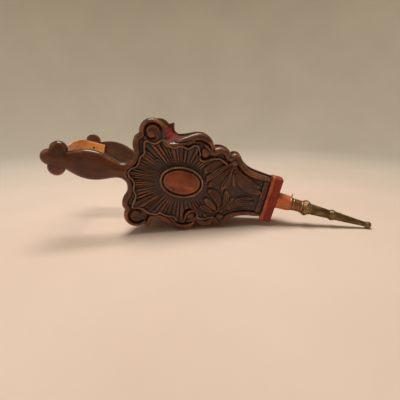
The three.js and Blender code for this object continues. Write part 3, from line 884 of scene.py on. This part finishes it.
# ---- Hinge leather, wrapped over the nose block ----
def hinge_band():
    middle = LEATHER / 2
    y = NOSE_HALF_WIDTH + GAP + middle
    z = -NOSE_HALF_DEPTH - GAP - middle
    corner = 2.4
    t = np.linspace(0, math.pi / 2, 9)
    lower = np.column_stack([z + corner - corner * np.sin(t), -y + corner - corner * np.cos(t)])
    upper = (lower * [1, -1])[::-1]
    path = chain([resample([(NOSE_HALF_DEPTH, -y), (z + corner, -y)], 1.5), lower,
                  resample([(z, -y + corner), (z, y - corner)], 1.5), upper,
                  resample([(z + corner, y), (NOSE_HALF_DEPTH, y)], 1.5)])
    out = outward(path)
    run = run_along(path)
    columns = []
    for face, lane in both_faces(np.linspace(0, 1, 19)):
        from_middle = abs(2 * lane - 1)
        wrinkle = 0.14 * np.sin(run * 0.35 + 14 * lane) + 0.10 * np.sin(run * 0.9 - 23 * lane)
        step = 0.55 if lane < 0.24 else 0.0
        lift = face * middle * (1 - 0.6 * from_middle**8) + ((wrinkle + step) if face > 0 else 0)
        skin = path + out * np.reshape(lift, (-1, 1))
        x = -0.6 - (NOSE_LENGTH - 1.0) * lane + 0.25 * np.sin(run * 0.5) * (from_middle > 0.9)
        columns.append(np.column_stack([x, skin[:, 1], skin[:, 0]]))
    piece = sleeve("hinge_band", np.array(columns).transpose(1, 0, 2), 1e-6, 50)
    settle(piece, BASE)
    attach(piece, "base")
    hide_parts("hinge_leather")
    return dress(piece, red_leather())


# ---- Turned neck and nozzle ----
TURNED_STEP = 0.6


def turned(name, profile, segments, relief=None):
    """Closed lathe about the nozzle axis; profile lists (radius, distance from the hinge line)."""
    ends = zip(profile, profile[1:] + profile[:1])
    line = np.vstack([resample(pair, TURNED_STEP)[:-1] for pair in ends])
    angle = round_turn(segments)
    radius = np.repeat(line[:, :1], segments, axis=1)
    distance = np.repeat(line[:, 1:], segments, axis=1)
    if relief is not None:
        radius = radius + relief(radius, distance, angle[None, :])
    rows = np.stack([-distance, radius * np.cos(angle), radius * np.sin(angle)], axis=2)
    shell = Shell()
    shell.grid(np.concatenate([rows, rows[:1]]))
    return shell.mesh(name, 1e-4, 50)


def neck():
    """Slightly waisted turned socket with eased ends."""
    a, b = NECK_START, NECK_END
    profile = [(8.0, a), (15.9, a), (16.5, a + 0.7), (16.5, a + 2.2), (16.0, a + 3.0), (15.4, a + 4.0),
               (15.2, a + 8), (15.0, a + 12), (14.9, b - 6), (14.8, b - 2), (14.5, b - 0.6), (14.0, b),
               (8.9, b), (8.9, b - 13), (8.0, b - 13)]
    piece = turned("turned_neck", profile, 96)
    settle(piece, BASE)
    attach(piece, "base")
    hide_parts("nozzle_neck")
    return dress(piece, fruitwood())


RIM = NECK_END + GAP


FIRST_RING = 78.0
SECOND_RING = 129.0


def chasing(radius, distance, angle):
    """Cast ornament on the nozzle's outside: leafy rings and a pointed leaf after the second one."""
    outside = np.where(radius > 3.4 + (NOZZLE_TIP - distance) * 0.022, 1.0, 0.0)
    first = np.exp(-(((distance - FIRST_RING) / 7.0) ** 4))
    leaves = first * (0.9 * np.abs(np.sin(4 * angle + 0.35 * np.sin(distance * 0.9))) - 0.75
                      + 0.35 * np.sin(distance * 2.1 + 2 * np.cos(8 * angle)))
    second = np.exp(-(((distance - SECOND_RING) / 5.0) ** 4))
    knots = second * (0.7 * np.abs(np.sin(3 * angle + 0.3)) - 0.5
                      + 0.25 * np.sin(distance * 2.6 + angle * 6))
    point = np.exp(-(((distance - 141.0) / 8.0) ** 2))
    flame = point * 0.55 * np.clip(np.cos(3 * angle + 0.3) * 2 - (distance - 137) * 0.12, -0.4, 1)
    wrap = 0.22 * np.exp(-(((distance - 57) / 8.0) ** 2)) * np.sin(distance * 0.75 + angle)
    uneven = 0.07 * np.sin(distance * 0.8 + 3 * np.sin(angle)) * np.sin(2 * angle + distance * 0.05)
    return outside * (leaves + knots + flame + wrap + uneven)


def nozzle():
    profile = [(7.0, RIM - 12), (8.6, RIM - 12), (8.6, RIM), (13.1, RIM), (13.6, RIM + 0.6),
               (13.6, RIM + 3.2), (13.1, RIM + 4.0), (12.2, RIM + 4.8), (11.9, RIM + 6.4),
               (12.3, RIM + 7.2), (11.8, RIM + 8.0),
               (11.4, RIM + 10.5), (11.3, 63.5), (11.0, 68.0), (11.9, 69.1), (11.9, 70.1), (11.2, 70.9),
               (12.2, 72.1), (14.0, 74.5), (14.8, 77.0), (14.8, 79.0), (14.0, 81.5), (12.4, 83.5),
               (11.0, 84.7), (11.3, 85.7), (10.9, 86.7), (10.2, 87.9), (9.4, 102), (8.7, 117), (8.1, 123),
               (8.8, 124.2), (9.0, 125.6), (9.9, 127.6), (10.1, 129.2), (9.8, 131), (9.0, 132.6),
               (8.8, 133.8), (7.9, 135), (7.5, 145), (6.6, 159), (5.5, 174), (4.7, 188), (4.5, 191.6),
               (5.1, 192.8), (5.0, 193.8), (5.6, 194.6), (6.2, 196.4), (6.4, 198.4), (6.1, 200.2),
               (5.2, 201.8), (4.2, 202.7), (3.2, 203.0), (2.8, 202.6), (2.8, 190.0), (7.0, 72.0)]
    piece = turned("brass_nozzle", profile, 112, chasing)
    paint(piece, "along", -coordinates(piece)[:, 0] / NOZZLE_TIP)
    settle(piece, BASE)
    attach(piece, "base")
    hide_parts("nozzle_tube")
    return dress(piece, antique_brass())


# ---- Tacks ----
TACK_RADIUS = 1.6
TACK_HEIGHT = 1.1
TACK_SIDES = 14


def tack_head(centre, out):
    """Domed head as rings round its axis, in board coordinates, with its foot ring."""
    aside = np.cross(out, [0.3, 0.4, 0.86])
    aside /= np.linalg.norm(aside)
    other = np.cross(out, aside)
    angle = round_turn(TACK_SIDES)
    around = np.outer(np.cos(angle), aside) + np.outer(np.sin(angle), other)
    steps = [(0.02, 1.0), (0.35, 0.94), (0.65, 0.76), (0.87, 0.48), (1.0, 0.16), (1.0, 0.0),
             (0.86, -0.12), (0.02, -0.12)]
    return [centre + around * TACK_RADIUS * r + out * TACK_HEIGHT * h for r, h in steps]


TACKS_PER_ROW = 42
TACK_NODES = 14


def tack_row(name, body, path, z, axes, node):
    """A row of domed tack heads round a core."""
    run = run_along(path)
    normal = outward(path)
    shell = Shell()
    for i in range(TACKS_PER_ROW):
        k = int(np.searchsorted(run, (i + 0.5) / TACKS_PER_ROW * run[-1]))
        out = np.array([*normal[k], 0.0])
        centre = np.array([*path[k], z]) + out * (GAP + LEATHER + 0.25)
        shell.grid(tack_head(centre, out))
    piece = shell.mesh(name, 1e-5, 60)
    settle(piece, axes)
    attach(piece, body)
    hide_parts(*[f"{node}_{i + 1}" for i in range(TACK_NODES)])
    return dress(piece, tack_brass())


# ---- Materials ----
def linear(red, green, blue):
    """Linear colour from display values 0 to 255."""
    scaled = [c / 255 for c in (red, green, blue)]
    return tuple(c / 12.92 if c < 0.04045 else ((c + 0.055) / 1.055) ** 2.4 for c in scaled) + (1.0,)


class Surface:
    """One procedural material under construction, its colours given as display values 0 to 255.

    Textures follow the grain layer or, where grained is off, the piece's own axes.
    """

    def __init__(self, name, grained=True, **fixed):
        self.material = bpy.data.materials.new(name)
        self.material.use_nodes = True
        self.tree = self.material.node_tree
        self.tree.nodes.clear()
        self.shader = self.node("ShaderNodeBsdfPrincipled")
        output = self.node("ShaderNodeOutputMaterial")
        self.feed(output.inputs["Surface"], self.shader.outputs["BSDF"])
        for key, value in fixed.items():
            self.shader.inputs[key.replace("_", " ")].default_value = value
        if grained:
            self.place = self.attribute("grain", "Vector")
        else:
            self.place = self.node("ShaderNodeTexCoord").outputs["Object"]

    def node(self, kind, values=None, **settings):
        node = self.tree.nodes.new(kind)
        for key, value in settings.items():
            setattr(node, key, value)
        for key, value in (values or {}).items():
            self.feed(node.inputs[key], value)
        return node

    def feed(self, socket, value):
        if isinstance(value, bpy.types.NodeSocket):
            self.tree.links.new(value, socket)
        else:
            socket.default_value = value

    def attribute(self, name, output="Fac"):
        return self.node("ShaderNodeAttribute", attribute_name=name).outputs[output]

    def noise(self, scale, detail=4.0, roughness=0.55, distortion=0.0):
        """Noise of one scale, or stretched by a scale for each axis."""
        vector = self.place
        if isinstance(scale, tuple):
            stretch = self.node("ShaderNodeVectorMath", {0: vector, 1: scale}, operation="MULTIPLY")
            vector, scale = stretch.outputs[0], 1.0
        values = {"Vector": vector, "Scale": scale, "Detail": detail, "Roughness": roughness,
                  "Distortion": distortion}
        return self.node("ShaderNodeTexNoise", values).outputs["Fac"]

    def wood(self, scale=1.0):
        """Long streaks along x, broader bands, and fine pores."""
        streaks = self.noise((14 * scale, 160 * scale, 160 * scale), 6, 0.6, 0.6)
        bands = self.noise((5 * scale, 42 * scale, 60 * scale), 3, 0.5, 1.6)
        return streaks, bands, self.noise((120, 1400, 1400), 2, 0.7)

    def hide(self, size):
        """Pebbles of leather, creases and a soft mottling."""
        values = {"Vector": self.place, "Scale": size}
        cells = self.node("ShaderNodeTexVoronoi", values, feature="DISTANCE_TO_EDGE")
        creases = self.noise((60, 220, 220), 5, 0.65, 1.2)
        return cells.outputs["Distance"], creases, self.noise(55.0, 5, 0.6)

    def stops(self, value, *stops):
        """Colour ramp; each stop is a position and a colour."""
        node = self.node("ShaderNodeValToRGB", {"Fac": value})
        elements = node.color_ramp.elements
        while len(elements) < len(stops):
            elements.new(0.5)
        for element, (position, *colour) in zip(elements, stops):
            element.position = position
            element.color = linear(*colour)
        return node.outputs["Color"]

    def levels(self, value, low, high, start=0.0, end=1.0):
        values = {"Value": value, "From Min": low, "From Max": high, "To Min": start, "To Max": end}
        return self.node("ShaderNodeMapRange", values).outputs["Result"]

    def mix(self, factor, first, second):
        node = self.node("ShaderNodeMix", data_type="RGBA")
        second = linear(*second) if isinstance(second, tuple) else second
        for socket, value in ((0, factor), (6, first), (7, second)):
            self.feed(node.inputs[socket], value)
        return node.outputs[2]

    def veil(self, colour, over, mask, *levels):
        """Lays another colour over this one, as strongly as the mask's levels say."""
        return self.mix(self.levels(mask, *levels), colour, over)

    def math(self, how, first, second):
        return self.node("ShaderNodeMath", {0: first, 1: second}, operation=how).outputs[0]

    def bump(self, *layers):
        """Stacks (height, strength, distance) layers into one normal."""
        normal = None
        for height, strength, distance in layers:
            values = {"Height": height, "Strength": strength, "Distance": distance}
            if normal is not None:
                values["Normal"] = normal
            normal = self.node("ShaderNodeBump", values).outputs["Normal"]
        self.feed(self.shader.inputs["Normal"], normal)

    def finish(self, colour, mask=None, smooth=0.0, rough=1.0):
        """Sets the colour and, where there is a mask, roughness over the middle of its range."""
        self.feed(self.shader.inputs["Base Color"], colour)
        if mask is not None:
            self.feed(self.shader.inputs["Roughness"], self.levels(mask, 0.3, 0.7, smooth, rough))
        return self.material


def carved_walnut():
    """Dark varnished walnut: pale on the crests for wear mixed with a painted highlight, with painted
    shade darkening the deep hollows and the grooves.
    """
    s = Surface("carved_walnut", Coat_Weight=0.5, Coat_Roughness=0.18, Specular_IOR_Level=0.2)
    streaks, bands, pores = s.wood()
    patches = s.noise(34.0, 5, 0.65)
    tone = s.stops(streaks, (0.28, 36, 16, 7), (0.52, 60, 27, 11), (0.75, 92, 44, 18))
    warm = s.stops(bands, (0.3, 50, 18, 7), (0.7, 86, 38, 14))
    amber = s.stops(bands, (0.3, 102, 38, 3), (0.7, 178, 84, 5))
    colour = s.mix(s.attribute("bright"), s.mix(0.45, tone, warm), amber)
    colour = s.veil(colour, (24, 13, 7), patches, 0.46, 0.68, 0.0, 0.55)
    # Painted shade: the deeper the carving, the darker its colour.
    recess_shade = s.mix(0.5, colour, (20, 11, 6))
    height = s.levels(s.attribute("depth"), -6.8, -1.5)
    colour = s.mix(s.math("SUBTRACT", 1.0, height), colour, recess_shade)
    rubbed = s.levels(patches, 0.32, 0.58, 0.95, 0.25)
    # Pale crests: wear in random patches, with a painted highlight along the ridges.
    wear_and_painted_light = s.math("MULTIPLY", s.levels(s.attribute("wear_and_painted_light"), 0.05, 0.55), rubbed)
    colour = s.mix(wear_and_painted_light, colour, (164, 100, 56))
    # Painted highlight and rubbed wear along the lip and the oval's ring.
    pale = s.math("MULTIPLY", s.attribute("rubbed_and_highlit"), s.levels(patches, 0.3, 0.6, 0.65, 0.3))
    colour = s.mix(pale, colour, (186, 146, 116))
    # Painted shade in the grooves between the carved shapes.
    colour = s.veil(colour, (18, 11, 7), s.attribute("wear_and_painted_light"), -0.6, -0.08, 0.7, 0.0)
    patina = s.noise(60.0, 5, 0.6)
    s.bump((streaks, 0.3, 0.0007), (pores, 0.18, 0.0003), (patina, 0.15, 0.0009))
    return s.finish(colour, patina, 0.24, 0.42)


def plain_walnut():
    s = Surface("plain_walnut", Coat_Weight=0.08, Coat_Roughness=0.4)
    streaks, bands, pores = s.wood()
    tone = s.stops(streaks, (0.28, 72, 36, 18), (0.52, 108, 60, 30), (0.76, 136, 84, 46))
    colour = s.mix(0.4, tone, s.stops(bands, (0.32, 84, 42, 26), (0.68, 122, 72, 42)))
    smudge = s.noise(38.0, 5, 0.6)
    colour = s.veil(colour, (52, 30, 20), smudge, 0.42, 0.66, 0.0, 0.45)
    # Pale eased edges: wear with a painted highlight.
    colour = s.veil(colour, (164, 118, 84), s.attribute("wear_and_painted_light"), 0.03, 0.5, 0.0, 0.45)
    s.bump((streaks, 0.3, 0.0006), (pores, 0.25, 0.0003))
    return s.finish(colour, smudge, 0.46, 0.66)


def fruitwood():
    s = Surface("fruitwood", Coat_Weight=0.25, Coat_Roughness=0.2)
    streaks, bands, pores = s.wood(1.6)
    colour = s.stops(streaks, (0.3, 156, 72, 26), (0.52, 206, 108, 38), (0.75, 228, 138, 58))
    colour = s.veil(colour, (160, 66, 30), bands, 0.4, 0.7, 0.0, 0.4)
    turning = s.noise((900, 20, 20), 2, 0.6)
    colour = s.veil(colour, (110, 50, 22), turning, 0.55, 0.8, 0.0, 0.35)
    s.bump((turning, 0.25, 0.0003), (pores, 0.15, 0.0003))
    return s.finish(colour, bands, 0.28, 0.42)


def red_leather():
    """Brushed red brown, lighter towards the top and on the strip beside the hinge line."""
    s = Surface("red_leather", Coat_Weight=0.08, Coat_Roughness=0.3, Specular_IOR_Level=0.3)
    pebbles, creases, mottle = s.hide(900.0)
    brush = s.noise((420, 50, 50), 4, 0.6, 1.0)
    colour = s.stops(brush, (0.3, 84, 18, 12), (0.52, 132, 36, 18), (0.76, 172, 68, 28))
    across, height, _ = s.node("ShaderNodeSeparateXYZ", {0: s.place}).outputs
    rise = s.levels(height, -0.03, 0.04)
    colour = s.mix(s.math("MULTIPLY", rise, 0.35), colour, (160, 62, 24))
    colour = s.veil(colour, (204, 96, 42), across, -0.0066, -0.0052, 0.0, 0.7)
    colour = s.veil(colour, (86, 22, 16), mottle, 0.5, 0.72, 0.0, 0.6)
    s.bump((brush, 0.35, 0.0006), (pebbles, 0.15, 0.0003), (creases, 0.25, 0.0005))
    return s.finish(colour, creases, 0.42, 0.62)


def cherry_leather():
    s = Surface("cherry_leather", Coat_Weight=0.06, Coat_Roughness=0.35, Specular_IOR_Level=0.35)
    pebbles, creases, mottle = s.hide(800.0)
    colour = s.stops(creases, (0.3, 76, 13, 13), (0.55, 114, 25, 25), (0.78, 144, 50, 42))
    colour = s.veil(colour, (110, 42, 26), mottle, 0.45, 0.7, 0.0, 0.6)
    # Painted shade along the gusset's inward fold.
    colour = s.veil(colour, (52, 14, 14), s.attribute("crease"), 0.0, 0.05, 0.7, 0.0)
    s.bump((creases, 0.45, 0.0009), (pebbles, 0.2, 0.0003))
    return s.finish(colour, mottle, 0.38, 0.58)


def tan_leather():
    s = Surface("tan_leather", Sheen_Weight=0.3)
    pebbles, creases, mottle = s.hide(700.0)
    colour = s.stops(creases, (0.3, 250, 144, 62), (0.5, 255, 174, 88), (0.74, 255, 212, 142))
    colour = s.veil(colour, (212, 118, 56), mottle, 0.52, 0.72, 0.0, 0.5)
    scuffs = s.noise((400, 120, 120), 4, 0.7)
    colour = s.veil(colour, (246, 206, 156), scuffs, 0.58, 0.72, 0.0, 0.55)
    s.bump((creases, 0.5, 0.0008), (scuffs, 0.3, 0.0005), (pebbles, 0.2, 0.0003))
    return s.finish(colour, mottle, 0.55, 0.78)


def antique_brass():
    """Dark brass, bright on its crests, darker in its hollows and coppery near the neck."""
    s = Surface("antique_brass", Metallic=0.85)
    blotch = s.noise(90.0, 6, 0.65)
    fine = s.noise(420.0, 4, 0.6)
    colour = s.stops(blotch, (0.3, 72, 54, 34), (0.5, 114, 90, 58), (0.72, 156, 130, 90))
    colour = s.veil(colour, (66, 48, 30), fine, 0.5, 0.7, 0.0, 0.6)
    colour = s.veil(colour, (150, 92, 62), s.attribute("along"), 0.33, 0.40, 0.55, 0.0)
    crest = s.node("ShaderNodeNewGeometry").outputs["Pointiness"]
    colour = s.veil(colour, (206, 178, 126), crest, 0.505, 0.56)
    colour = s.mix(s.math("SUBTRACT", 1.0, s.levels(crest, 0.44, 0.495)), colour, (40, 28, 16))
    s.bump((blotch, 0.2, 0.0006), (fine, 0.3, 0.0004))
    return s.finish(colour, blotch, 0.34, 0.52)


# These are used on frame meshes, which have no grain layer, so they follow the piece's own axes.
def tack_brass():
    s = Surface("tack_brass", False, Metallic=0.9)
    tarnish = s.noise(300.0, 4, 0.6)
    colour = s.stops(tarnish, (0.3, 70, 48, 26), (0.6, 116, 84, 46), (0.8, 160, 126, 74))
    s.bump((s.noise(1500.0, 3, 0.6), 0.2, 0.0002))
    return s.finish(colour, tarnish, 0.28, 0.48)


def steel():
    s = Surface("steel", False, Metallic=0.9)
    rust = s.noise(260.0, 5, 0.6)
    colour = s.stops(rust, (0.4, 118, 112, 106), (0.62, 84, 70, 60), (0.75, 96, 52, 30))
    s.bump((rust, 0.3, 0.0003))
    return s.finish(colour, rust, 0.35, 0.62)


def inner_walnut():
    s = Surface("inner_walnut", False)
    streaks = s.noise((18, 150, 150), 5, 0.6, 0.7)
    s.bump((streaks, 0.3, 0.0005))
    return s.finish(s.stops(streaks, (0.3, 66, 38, 24), (0.7, 112, 70, 44)), streaks, 0.5, 0.7)


def flap_leather():
    s = Surface("flap_leather", False)
    pebbles, creases, mottle = s.hide(800.0)
    s.bump((creases, 0.4, 0.0006), (pebbles, 0.2, 0.0003))
    return s.finish(s.stops(creases, (0.3, 52, 16, 14), (0.7, 96, 34, 24)), mottle, 0.45, 0.65)


def finish_frame_nodes():
    """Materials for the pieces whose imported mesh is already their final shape."""
    finishes = [(inner_walnut(), ["nose_block", "valve_flap"]),
                (flap_leather(), ["hinge_flap", "valve_hinge_strip"]),
                (tack_brass(), ["valve_tack_1", "valve_tack_2", "strap_nail_back", "strap_nail_front"]),
                (steel(), ["block_screw_upper", "block_screw_lower", "nozzle_pin"])]
    for material, names in finishes:
        for name in names:
            materials = frame["nodes"][name].data.materials
            materials.clear()
            materials.append(material)


# ---- Stage, light and camera ----
CAMERA_FROM_HINGE = Vector((-0.1355, -0.5291, 0.1560))
CAMERA_PITCH = math.radians(90 - 16.61)
CAMERA_TURN = math.radians(-1.26)
LENS = 26.5
FLOOR_RADIUS = 1.3
COVE_RADIUS = 0.8
WALL_TOP = 2.4
FLOOR_SIDES = 96


def floor_cloth():
    """Pale cloth, warmer near the bellows than far from it."""
    s = Surface("floor_cloth", False, Specular_IOR_Level=0.2, Roughness=0.85)
    soft = s.noise(3.0, 4, 0.5)
    near = s.stops(soft, (0.3, 222, 200, 183), (0.7, 229, 208, 192))
    far = s.stops(soft, (0.3, 226, 217, 202), (0.7, 234, 225, 210))
    reach = s.node("ShaderNodeVectorMath", {0: s.place}, operation="LENGTH").outputs["Value"]
    s.bump((s.noise((300, 900, 300), 3, 0.6), 0.15, 0.0006))
    return s.finish(s.veil(near, far, reach, 0.35, 1.2))


def stage():
    """A plain pale floor that curves up all round into a plain wall."""
    turn = np.linspace(0, math.pi / 2, 20)
    cove = [(FLOOR_RADIUS + COVE_RADIUS * math.sin(t), COVE_RADIUS * (1 - math.cos(t))) for t in turn]
    section = [(0.05, 0), (0.6, 0), *cove, (FLOOR_RADIUS + COVE_RADIUS, WALL_TOP)]
    sides = 2 * math.pi * np.arange(FLOOR_SIDES) / FLOOR_SIDES
    shell = Shell()
    shell.grid([[(r * math.cos(a), r * math.sin(a), z) for a in sides] for r, z in section])
    shell.faces.append(tuple(range(FLOOR_SIDES)))
    floor = shell.mesh("floor")
    floor.data.materials.append(floor_cloth())


def area_light(name, place, target, size, power, colour):
    data = bpy.data.lights.new(name, "AREA")
    data.shape = "DISK"
    data.size = size
    data.energy = power
    data.color = colour
    lamp = add_object(name, data)
    lamp.location = place
    lamp.rotation_euler = (Vector(target) - Vector(place)).to_track_quat("-Z", "Y").to_euler()


def studio():
    world = bpy.data.worlds.new("studio")
    world.use_nodes = True
    background = world.node_tree.nodes["Background"]
    background.inputs["Color"].default_value = linear(196, 190, 172)
    background.inputs["Strength"].default_value = 0.28
    scene = bpy.context.scene
    scene.world = world
    area_light("overhead", (-0.1, 0.1, 1.5), (0, 0, 0.05), 0.8, 21, (1.0, 0.95, 0.89))
    area_light("side", (-0.9, -0.7, 0.9), (0, 0, 0.1), 0.7, 1.0, (0.95, 0.97, 1.0))
    data = bpy.data.cameras.new("camera")
    data.lens = LENS
    camera = add_object("camera", data)
    camera.location = HINGE + CAMERA_FROM_HINGE
    camera.rotation_euler = (CAMERA_PITCH, 0, CAMERA_TURN)
    scene.camera = camera
    scene.view_settings.view_transform = "Standard"


studio()
stage()
front_board()
back_board()
gusset()
strap()
hinge_band()
neck()
nozzle()
tack_row("front_tacks", "front_board", front_core(), PLATE + CORE / 2, FRONT, "front_tack")
tack_row("back_tacks", "base", back_core(), BACK_Z + CORE / 2, BASE, "back_tack")
finish_frame_nodes()
